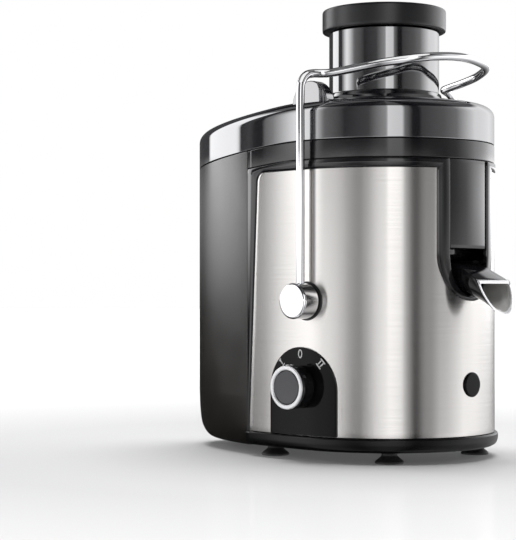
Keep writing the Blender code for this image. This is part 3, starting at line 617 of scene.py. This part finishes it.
def spout_section(x, wall):
    """Flat roof and rounded floor, in the plane of constant x."""
    for near, far in zip(SPOUT, SPOUT[1:]):
        if x <= far[0]:
            break
    share = (x - near[0]) / (far[0] - near[0])
    half_w, roof, floor = [a + (b - a) * share for a, b in zip(near[1:], far[1:])]
    half_w, roof, floor = half_w - wall, roof - wall, floor + wall
    depth, ease = half_w * 0.9, 0.0012
    points = [(half_w - ease, roof), (half_w - ease * 0.3, roof - ease * 0.3),
              (half_w, roof - ease)]
    points += [(half_w * math.cos(a), floor + depth - depth * math.sin(a))
               for a in spaced(0.0, math.pi, 33)]
    points += [(-y, z) for y, z in reversed(points[:3])]
    return [Vector((x, y, z)) for y, z in points]


def mouth_section(wall, share, short):
    """Where each line of the tube has run a share of the way from the liner's start to the
    leaning mouth, or to a plane that lies short of it."""
    section = []
    for index, _ in enumerate(spout_section(LINER_START, wall)):
        end = LINER_START
        for _ in range(12):
            height = spout_section(end, wall)[index].z
            end = MOUTH_X - short + MOUTH_LEAN * (MOUTH_Z - height)
        section.append(spout_section(LINER_START + (end - LINER_START) * share, wall)[index])
    return section


def build_spout():
    outer_wall, whole_wall, seam = 0.0010, 0.0019, 0.0001
    inlet = spaced(SPOUT[0][0], SPOUT[2][0], 8) + spaced(0.0905, LINER_START, 3)
    shares = spaced(0.0, 1.0, 10)
    body = [spout_section(x, 0.0) for x in inlet]
    body += [mouth_section(0.0, s, RIM) for s in shares[1:]]
    body += [mouth_section(outer_wall, s, RIM) for s in reversed(shares[1:])]
    body += [spout_section(x, outer_wall) for x in reversed(inlet)]
    piece("spout_channel", skin(body, looped=True), "base", "black_gloss", ["spout"],
          finish="spout_black", even=False)

    liner = [mouth_section(outer_wall + seam, s, RIM) for s in shares]
    liner += [mouth_section(whole_wall, s, RIM) for s in reversed(shares)]
    piece("spout_liner", skin(liner, looped=True), "base", "silver", finish="liner_grey",
          even=False)
    lip = [mouth_section(wall, 1.0, short) for wall, short in
           ((0.0, RIM - seam), (0.0, 0.0), (whole_wall, 0.0), (whole_wall, RIM - seam))]
    piece("spout_lip", skin(lip, looped=True), "base", "silver", bevel=0.0002, even=False)


# ---- lid and pusher ----------------------------------------------------------------------
def build_lid():
    def circle(profile, share=0.0):
        return [circle_row(radius, z, share) for radius, z in profile]

    shoulder = []
    drop, inset = 0.0100, 0.0150
    for a in spaced(0.0, math.pi / 2, 12):
        shoulder.append((-inset * (1 - math.sin(a) ** 0.9), LID_TOP - drop * (1 - math.cos(a))))
    rows = circle(rounded([(CHUTE_R, CHUTE_BOTTOM), (BORE_R, CHUTE_BOTTOM),
                           (BORE_R, CHUTE_TOP), (CHUTE_R, CHUTE_TOP), (CHUTE_R, 0.3012),
                           (0.0473, 0.3008), (0.0489, 0.2975), (0.0510, 0.2948),
                           (0.0538, 0.2926), (0.0570, 0.2915)], 0.0006))
    rows += circle([(0.0600, LID_TOP)], 1.0)
    rim = whole_row(shoulder[0][0], LID_TOP)
    collar = circle_row(0.0600, LID_TOP, 1.0)
    for s in (0.33, 0.66):
        rows.append([tuple(Vector(a).lerp(Vector(b), s)) for a, b in zip(collar, rim)])
    rows += [whole_row(offset, z) for offset, z in shoulder]
    side = rounded([(0.0, 0.2790), (0.0, LID_BOTTOM), (-0.0025, LID_BOTTOM),
                    (-0.0027, 0.2790), (-0.0070, 0.2850), (-0.0160, 0.2875)], 0.0007,
                   closed=False)
    rows += [whole_row(offset, z) for offset, z in side]
    rows += circle([(0.0520, 0.2880)], 1.0)
    rows += circle([(0.0465, 0.2860), (CHUTE_R, 0.2800)])
    piece("lid_shell", skin(rows, looped=True), "base", "black_gloss", ["lid"],
          finish="lid_gloss")

    hump = [(LUG_X + LUG_R * math.cos(a), max(LUG_BOTTOM, LUG_TOP - LUG_R * (1 - math.sin(a))))
            for a in spaced(-0.09, math.pi + 0.09, 30)]
    for side, word in ((-1, "right"), (1, "left")):
        near, far = sorted((side * LUG_INNER_Y, side * LUG_OUTER_Y))
        piece(f"lid_lug_{word}", extruded(hump, near, far, "Y"), "base", "black_gloss",
              finish="lid_gloss", bevel=0.0010)


def build_pusher():
    body = rounded([(0.0, 0.2240), (0.0418, 0.2240), (0.0418, 0.3530), (0.0396, 0.3530),
                    (0.0396, 0.2270), (0.0, 0.2270)], 0.0012, closed=False)
    piece("pusher_tube", turned(body, looped=False), "pusher", "smoke", ["pusher_body"])
    cap = [(0.0, CAP_BOTTOM + 0.0010), (0.0440, CAP_BOTTOM + 0.0010),
           (0.0470, CAP_BOTTOM), (CAP_R - 0.0003, CAP_BOTTOM), (CAP_R, CAP_BOTTOM + 0.0020),
           (CAP_R, CAP_TOP - 0.0016), (CAP_R - 0.0006, CAP_TOP - 0.0005),
           (CAP_R - 0.0020, CAP_TOP), (0.0400, CAP_TOP), (0.0360, CAP_TOP - 0.0016),
           (0.0, CAP_TOP - 0.0020)]
    bm = turned(rounded(cap, 0.0010, 4, closed=False), looped=False)
    piece("pusher_knob", bm, "pusher", "black_gloss", ["pusher_cap"], finish="cap_black")


# ---- knob, panel and badge ---------------------------------------------------------------
def panel_point(x, z, lift):
    t = math.copysign(angle_at_x(x), -1)
    px, py = outline(t, lift)
    return Vector((px, py, z))


def build_panel():
    half_w, centre_x = (PANEL_HIGH.x - PANEL_LOW.x) / 2, (PANEL_HIGH.x + PANEL_LOW.x) / 2
    levels = [(z, half_w) for z in spaced(PANEL_LOW.z, ARCH_Z, 10)]
    levels += [(ARCH_Z + half_w * math.sin(a), half_w * math.cos(a))
               for a in spaced(0.0, math.pi / 2, 26)[1:-1]]
    rows = [[panel_point(centre_x + reach * s, z, PANEL_FACE) for s in spaced(-1.0, 1.0, 41)]
            for z, reach in levels]
    rows.append([panel_point(centre_x, ARCH_Z + half_w, PANEL_FACE)])
    piece("control_panel", skin(rows, closed=False), "base", "black_gloss", ["knob_panel"],
          finish="panel_black", solidify=0.0014, bevel=0.0006, even=False)


def stroke(points, width, closed=False):
    """A flat line of even width in the plane of the panel, as a thin raised mark."""
    left, right = [], []
    count = len(points)
    for i, (a, b) in enumerate(points):
        before = points[i - 1] if closed or i else points[i]
        after = points[(i + 1) % count] if closed or i < count - 1 else points[i]
        run = Vector((after[0] - before[0], after[1] - before[1])).normalized()
        left.append((a - run.y * width / 2, b + run.x * width / 2))
        right.append((a + run.y * width / 2, b - run.x * width / 2))
    return left, right


def build_marks():
    """0, I and II round the knob."""
    width = 0.0010
    for word, degrees, radius in (("off", 0.0, 0.0265), ("one", -48.0, 0.0285),
                                  ("two", 48.0, 0.0285)):
        lines = []
        if word == "off":
            loop = [(0.0018 * math.cos(a), 0.0031 * math.sin(a))
                    for a in spaced(0.0, 2 * math.pi, 29)[:-1]]
            lines.append((loop, True))
        else:
            uprights = [0.0] if word == "one" else [-0.0014, 0.0014]
            reach = 0.0016 if word == "one" else 0.0030
            lines += [([(a, -0.0030), (a, 0.0030)], False) for a in uprights]
            lines += [([(-reach, b), (reach, b)], False) for b in (-0.0030, 0.0030)]
        parts = []
        turn = math.radians(degrees)
        for points, closed in lines:
            left, right = stroke(points, width, closed)
            rows = []
            for side in (left, right):
                row = []
                for a, b in side:
                    up = radius + b
                    x = KNOB_X + a * math.cos(turn) + up * math.sin(turn)
                    z = KNOB_Z - a * math.sin(turn) + up * math.cos(turn)
                    row.append(panel_point(x, z, PANEL_FACE + 0.00008))
                rows.append(row)
            parts.append(skin(rows, closed=closed))
        piece(f"mark_{word}", joined(parts), "base", "silver", finish="mark_white",
              solidify=0.00012, even=False)


def build_knob():
    centre = (KNOB_X, KNOB_Z)
    back, front, r = -KNOB_BACK_Y, -KNOB_FRONT_Y, KNOB_R
    body = rounded([(0.0, back), (r - 0.0008, back), (r - 0.0004, back - 0.0015),
                    (r, front + 0.0014), (r - 0.0006, front), (0.0, front)], 0.0006,
                   closed=False)
    piece("knob_grip", turned(body, centre, "Y", looped=False), "speed_knob", "black_gloss",
          ["knob_body"])
    ring = rounded([(r - 0.0037, front - 0.0003), (r - 0.0004, front - 0.0003),
                    (r, front - 0.0010), (r - 0.0006, front - 0.0020),
                    (r - 0.0030, front - 0.0020), (r - 0.0037, front - 0.0014)], 0.0005)
    piece("knob_bezel", turned(ring, centre, "Y"), "speed_knob", "silver", ["knob_ring"])
    cap = rounded([(0.0, front - 0.0003), (r - 0.0041, front - 0.0003),
                   (r - 0.0041, front - 0.0010), (r - 0.0048, front - 0.0014),
                   (0.0060, front - 0.0010), (0.0, front - 0.0009)], 0.0004, closed=False)
    piece("knob_face", turned(cap, centre, "Y", looped=False), "speed_knob", "dark_grey",
          ["knob_cap"])
    top = KNOB_Z + r
    tick = [(KNOB_X - 0.0009, top - 0.0006), (KNOB_X + 0.0009, top - 0.0006),
            (KNOB_X + 0.0009, top + 0.0007), (KNOB_X - 0.0009, top + 0.0007)]
    piece("knob_pointer", extruded(tick, front - 0.0012, front + 0.0060, "Y"), "speed_knob",
          "silver", finish="mark_white", bevel=0.0003)


def build_badge():
    face = rounded([(0.0, 0.0), (BADGE_R, 0.0), (BADGE_R, 0.0008), (BADGE_R - 0.0010, 0.0013),
                    (0.0, 0.0016)], 0.0004, closed=False)
    rows = []
    for radius, height in face:
        count = 1 if radius < 1e-7 else 64
        rows.append([(BODY_R + STEEL_FACE + height, radius * math.cos(2 * math.pi * i / 64),
                      BADGE_Z + radius * math.sin(2 * math.pi * i / 64))
                     for i in range(count)])
    for row in rows[:2]:
        for i, (x, y, z) in enumerate(row):
            row[i] = (math.sqrt(BODY_R ** 2 - y * y) - 0.0002, y, z)
    piece("badge_disc", skin(rows), "base", "black_gloss", ["front_badge"],
          finish="panel_black")


# ---- locking arm -------------------------------------------------------------------------
ARM_HALF = [(0.0, ROD_Y, 0.008), (0.0, ROD_Y, 0.060), (0.0, ROD_Y, 0.120),
            (0.0, ROD_Y, 0.166), (0.0, 0.0978, 0.1755), (0.0, 0.0925, 0.1810),
            (0.0010, 0.0855, 0.1830), (0.0045, 0.0790, 0.1833), (0.0110, 0.0750, 0.1836),
            (0.0290, 0.0700, 0.1856), (0.0450, 0.0650, 0.1877), (0.0560, 0.0600, 0.1894),
            (0.0700, 0.0500, 0.1914), (0.0785, 0.0400, 0.1930), (0.0820, 0.0300, 0.1943),
            (0.0845, 0.0150, 0.1956), (0.0860, 0.0, 0.1960)]


def tube(path, radius, steps=24):
    """A round rod along a path, closed at both ends."""
    rows = []
    across = Vector((0.0, 1.0, 0.0))
    for i, point in enumerate(path):
        run = (path[min(i + 1, len(path) - 1)] - path[max(i - 1, 0)]).normalized()
        across = (across - run * across.dot(run)).normalized()
        other = run.cross(across)
        rows.append([point + (across * math.cos(a) + other * math.sin(a)) * radius
                     for a in spaced(0.0, 2 * math.pi, steps + 1)[:-1]])
    return skin([[path[0]]] + rows + [[path[-1]]])


def build_arm():
    """The bail with its buttons and a thin black ring behind each; returns the collection that
    holds the rod.
    """
    points = [(x, -y, z) for x, y, z in ARM_HALF]
    points += [(x, -y, z) for x, y, z in reversed(points[:-1])]
    path = [p + Vector((PIVOT_X, 0.0, PIVOT_Z)) for p in smooth_path(points, 8)]
    rod = piece("bail_rod", tube(path, ROD_R), "locking_arm", "chrome", ["locking_arm"],
                even=False)
    bright_work = bpy.data.collections.new("bright_work")
    bright_work.objects.link(rod)

    centre = (PIVOT_X, PIVOT_Z)
    for side, word in ((-1, "right"), (1, "left")):
        face = rounded([(0.0, HUB_INNER_Y), (HUB_R - 0.0012, HUB_INNER_Y),
                        (HUB_R, HUB_INNER_Y + 0.0012), (HUB_R, HUB_OUTER_Y - 0.0014),
                        (HUB_R - 0.0014, HUB_OUTER_Y), (0.0, HUB_OUTER_Y + 0.0003)],
                       0.0008, closed=False)
        bm = turned([(r, side * y) for r, y in face], centre, "Y", looped=False)
        piece(f"bail_button_{word}", bm, "locking_arm", "chrome", [f"arm_hub_{word}"])
        # a thin black ring between each button and the body
        black_ring = rounded([(0.0058, 0.0912), (HUB_R + 0.0014, 0.0912),
                          (HUB_R + 0.0014, 0.0921), (0.0058, 0.0921)], 0.0003)
        bm = turned([(r, side * y) for r, y in black_ring], centre, "Y")
        piece(f"pivot_black_ring_{word}", bm, "base", "black_satin")
    return bright_work


# ---- pulp container ----------------------------------------------------------------------
def build_container():
    front, rim = POT_HIGH.x, POT_HIGH.z - droop(POT_HIGH.x)
    foot = smooth_path([(-0.0240, 0.0060), (-0.0180, 0.0062), (-0.0090, 0.0095),
                        (-0.0030, 0.0185), (-0.0008, 0.0320), (0.0, 0.0500)], 5)
    levels = [(p.x, p.y, 0.0) for p in foot]
    levels += [(0.0, 0.1200, 0.0), (0.0, 0.1900, 0.0), (0.0, rim - 0.0100, 1.0),
               (0.0, rim - 0.0004, 1.0),
               (-0.0004, rim, 1.0), (-0.0020, rim, 1.0), (-0.0024, rim - 0.0004, 1.0),
               (-0.0024, 0.0520, 0.0), (-0.0036, 0.0300, 0.0), (-0.0070, 0.0170, 0.0),
               (-0.0120, 0.0118, 0.0), (-0.0210, 0.0088, 0.0)]
    rows = [rear_row(offset, z, front, share) for offset, z, share in levels]
    piece("pulp_pot", skin(rows, capped=True), "pulp_container", "smoke", ["pulp_container"],
          bevel=0.0012)


# ---- stage -------------------------------------------------------------------------------
# Brightness of the studio round the object, against the angle from the camera in degrees
# (negative is clockwise seen from above), in three bands of height.
UPPER = [(-180, 0.10), (-140, 0.12), (-138.5, 3.0), (-115.5, 2.9), (-114.5, 0.08),
         (-109, 0.16), (-107.5, 0.05), (-104, 0.05), (-103.3, 0.38), (-100, 0.65), (-97, 1.3),
         (-91, 2.7), (-81, 2.0), (-71, 0.65), (-68, 0.40), (-52, 0.20), (-45, 0.07),
         (-20, 0.16), (-11, 0.52), (-2.6, 0.85), (-1.9, 0.1), (-0.9, 2.2), (14, 1.9),
         (17, 0.50), (25, 0.03), (32, 0.03), (35, 0.14), (60, 0.28), (76, 0.50), (104, 2.2),
         (136, 2.3), (180, 0.10)]
MIDDLE = [(-180, 0.15), (-150, 0.4), (-142, 1.1), (-132, 2.4), (-125, 3.2), (-114, 3.3),
          (-109, 1.7), (-105, 1.6), (-97, 2.0), (-90, 1.75), (-80, 1.9), (-64, 2.5), (-46, 3.0),
          (-37, 2.4), (-29, 1.75), (-20, 2.35), (-12, 2.9), (-4, 2.45), (4, 1.8), (13, 1.9),
          (20, 1.5), (25, 0.9), (31, 0.9), (40, 1.1), (50, 0.6), (62, 0.25), (76, 0.50),
          (90, 1.0), (104, 2.5), (136, 4.4), (180, 0.15)]
LOWER = [(-180, 0.02), (-138, 0.02), (-118, 0.04), (-110, 0.18), (-103, 0.45), (-97, 1.25),
         (-89, 1.66), (-64, 1.46), (-55, 1.17), (-46, 0.70), (-37, 0.32), (-29, 0.32), (-20, 0.75),
         (-12, 1.20), (-4, 1.56), (4, 1.57), (12, 1.30), (20, 0.50), (27, 0.03), (30, 0.03),
         (37, 0.36), (46, 0.53), (55, 1.02), (65, 1.22), (75, 1.50), (86, 1.74), (99, 1.45),
         (114, 1.12), (134, 0.75), (156, 0.4), (180, 0.02)]
HEIGHT = [(-90, 0.5), (-30, 0.5), (-12, 1.0), (30, 1.0), (36, 0.10), (90, 0.14)]
BAND_EDGES = ((-0.7, 2.8), (4.0, 4.6))    # degrees of rise where the bands blend
CAMERA_AT = Vector((0.9162, -1.0819, 0.1352))
CAMERA_TURN = 44.54
LENS, SHIFT_Y = 112.27, 0.0431
FLOOR_R, BACKDROP_R = 14.0, 13.0
# the floor's painted glow: from and to which strength, between which distances from the centre; a
# faint glow right under the object lifts its shadow, a strong one far out turns the floor white
FLOOR_GLOW = ((0.07, 0.0, 0.06, 0.26), (0.0, 0.5, 0.35, 1.3))


def ramp_node(tree, value, stops, low, high):
    """A colour ramp that holds brightness against a number between low and high."""
    spread = tree.nodes.new("ShaderNodeMapRange")
    spread.inputs["From Min"].default_value = low
    spread.inputs["From Max"].default_value = high
    tree.links.new(value, spread.inputs["Value"])
    ramp = tree.nodes.new("ShaderNodeValToRGB")
    top = max(level for _, level in stops)
    elements = ramp.color_ramp.elements
    for index, (where, level) in enumerate(stops):
        ends = {0: 0, len(stops) - 1: len(elements) - 1}
        element = (elements[ends[index]] if index in ends
                   else elements.new((where - low) / (high - low)))
        element.color = (level / top, level / top, level / top, 1.0)
    tree.links.new(spread.outputs["Result"], ramp.inputs["Fac"])
    scale = tree.nodes.new("ShaderNodeMath")
    scale.operation = "MULTIPLY"
    scale.inputs[1].default_value = top
    tree.links.new(ramp.outputs["Color"], scale.inputs[0])
    return scale.outputs["Value"]


def math_node(tree, operation, *values):
    node = tree.nodes.new("ShaderNodeMath")
    node.operation = operation
    for socket, value in zip(node.inputs, values):
        if isinstance(value, (int, float)):
            socket.default_value = value
        else:
            tree.links.new(value, socket)
    return node.outputs["Value"]


def in_radians(stops):
    return [(math.radians(angle), level) for angle, level in stops]


def build_world():
    """Softboxes and black flags standing round the object, as a panorama."""
    world = bpy.data.worlds.new("studio")
    bpy.context.scene.world = world
    world.use_nodes = True
    tree = world.node_tree
    place = tree.nodes.new("ShaderNodeTexCoord")
    split = tree.nodes.new("ShaderNodeSeparateXYZ")
    tree.links.new(place.outputs["Generated"], split.inputs["Vector"])
    x, y, z = split.outputs
    # angle from the direction of the camera, -pi..pi
    turn = math.radians(CAMERA_TURN - 90)
    ahead = math_node(tree, "ADD", math_node(tree, "MULTIPLY", x, math.cos(turn)),
                      math_node(tree, "MULTIPLY", y, math.sin(turn)))
    aside = math_node(tree, "ADD", math_node(tree, "MULTIPLY", x, -math.sin(turn)),
                      math_node(tree, "MULTIPLY", y, math.cos(turn)))
    around = math_node(tree, "ARCTAN2", aside, ahead)
    rise = math_node(tree, "ARCSINE", z)
    level = ramp_node(tree, around, in_radians(LOWER), -math.pi, math.pi)
    for stops, edges in zip((MIDDLE, UPPER), BAND_EDGES):
        band = ramp_node(tree, around, in_radians(stops), -math.pi, math.pi)
        share = ranged(tree, rise, 0.0, 1.0, *[math.radians(edge) for edge in edges])
        level = math_node(tree, "ADD", math_node(tree, "MULTIPLY", band, share),
                          math_node(tree, "MULTIPLY", level,
                                    math_node(tree, "SUBTRACT", 1.0, share)))
    height = ramp_node(tree, rise, in_radians(HEIGHT), -math.pi / 2, math.pi / 2)
    strength = math_node(tree, "MULTIPLY", level, height)
    background = tree.nodes["Background"]
    background.inputs["Color"].default_value = (0.985, 0.985, 1.0, 1.0)
    tree.links.new(strength, background.inputs["Strength"])


def staged(name, bm):
    """A floor or backdrop with a material of its own, and that material's tree."""
    mesh = bpy.data.meshes.new(name)
    bm.to_mesh(mesh)
    bm.free()
    obj = bpy.data.objects.new(name, mesh)
    bpy.context.scene.collection.objects.link(obj)
    mat = bpy.data.materials.new(name + "_white")
    mat.use_nodes = True
    mesh.materials.append(mat)
    return obj, mat.node_tree


def build_floor():
    """A matt white floor with a faint mirror and a painted glow: faint right under the object to
    lift its shadow, none round it, strong far away.
    """
    bm = bmesh.new()
    bmesh.ops.create_circle(bm, cap_ends=True, segments=64, radius=FLOOR_R)
    floor, tree = staged("floor", bm)
    floor.visible_glossy = False
    shader = tree.nodes["Principled BSDF"]
    shader.inputs["Base Color"].default_value = (0.60, 0.60, 0.60, 1.0)
    shader.inputs["Specular IOR Level"].default_value = 0.0
    shader.inputs["Emission Color"].default_value = (1.0, 1.0, 1.0, 1.0)
    place = tree.nodes.new("ShaderNodeTexCoord")
    reach = tree.nodes.new("ShaderNodeVectorMath")
    reach.operation = "LENGTH"
    tree.links.new(place.outputs["Object"], reach.inputs[0])
    # painted light: the floor glows by its distance from the centre, faintly under the object and
    # strongly far away
    glow = [ranged(tree, reach.outputs["Value"], *numbers) for numbers in FLOOR_GLOW]
    tree.links.new(math_node(tree, "ADD", *glow), shader.inputs["Emission Strength"])
    gloss = tree.nodes.new("ShaderNodeBsdfGlossy")
    gloss.inputs["Roughness"].default_value = 0.12
    mix = tree.nodes.new("ShaderNodeMixShader")
    mix.inputs["Fac"].default_value = 0.07
    tree.links.new(shader.outputs["BSDF"], mix.inputs[1])
    tree.links.new(gloss.outputs["BSDF"], mix.inputs[2])
    tree.links.new(mix.outputs["Shader"], tree.nodes["Material Output"].inputs["Surface"])


def build_backdrop():
    """A white sphere that only the camera sees."""
    bm = bmesh.new()
    bmesh.ops.create_uvsphere(bm, u_segments=64, v_segments=32, radius=BACKDROP_R)
    backdrop, tree = staged("backdrop", bm)
    for ray in ("diffuse", "glossy", "transmission", "volume_scatter", "shadow"):
        setattr(backdrop, "visible_" + ray, False)
    glow = tree.nodes.new("ShaderNodeEmission")
    glow.inputs["Strength"].default_value = 1.0
    tree.links.new(glow.outputs["Emission"], tree.nodes["Material Output"].inputs["Surface"])


def build_lamps(bright_work):
    """A wide soft sun, and a round area lamp that lights the bright work only."""
    sun = bpy.data.lights.new("overhead", "SUN")
    sun.energy = 3.7
    sun.angle = math.radians(50)
    overhead = bpy.data.objects.new("overhead", sun)
    bpy.context.scene.collection.objects.link(overhead)
    overhead.rotation_euler = (math.radians(-14), 0.0, math.radians(CAMERA_TURN))
    overhead.visible_glossy = False
    overhead.visible_camera = False

    disk = bpy.data.lights.new("canopy", "AREA")
    disk.shape = "DISK"
    disk.size = 1.7
    disk.energy = 7.5
    canopy = bpy.data.objects.new("canopy", disk)
    bpy.context.scene.collection.objects.link(canopy)
    canopy.location = AXIS + Vector((0.52, -0.61, 1.3))
    canopy.visible_camera = False
    canopy.light_linking.receiver_collection = bright_work


def build_camera():
    data = bpy.data.cameras.new("camera")
    data.lens = LENS
    data.sensor_width = 36.0
    data.shift_y = SHIFT_Y
    data.clip_end = 100.0
    camera = bpy.data.objects.new("camera", data)
    bpy.context.scene.collection.objects.link(camera)
    camera.location = CAMERA_AT + AXIS
    camera.rotation_euler = (math.pi / 2, 0.0, math.radians(CAMERA_TURN))
    bpy.context.scene.camera = camera


build_camera()
build_world()
finish_carried_nodes()
build_base()
build_steel()
build_surround()
build_gland()
build_bowl()
build_spout()
build_lid()
build_pusher()
build_panel()
build_marks()
build_knob()
build_badge()
bail = build_arm()
build_container()
build_floor()
build_backdrop()
build_lamps(bail)
bpy.context.scene.view_settings.view_transform = "Standard"
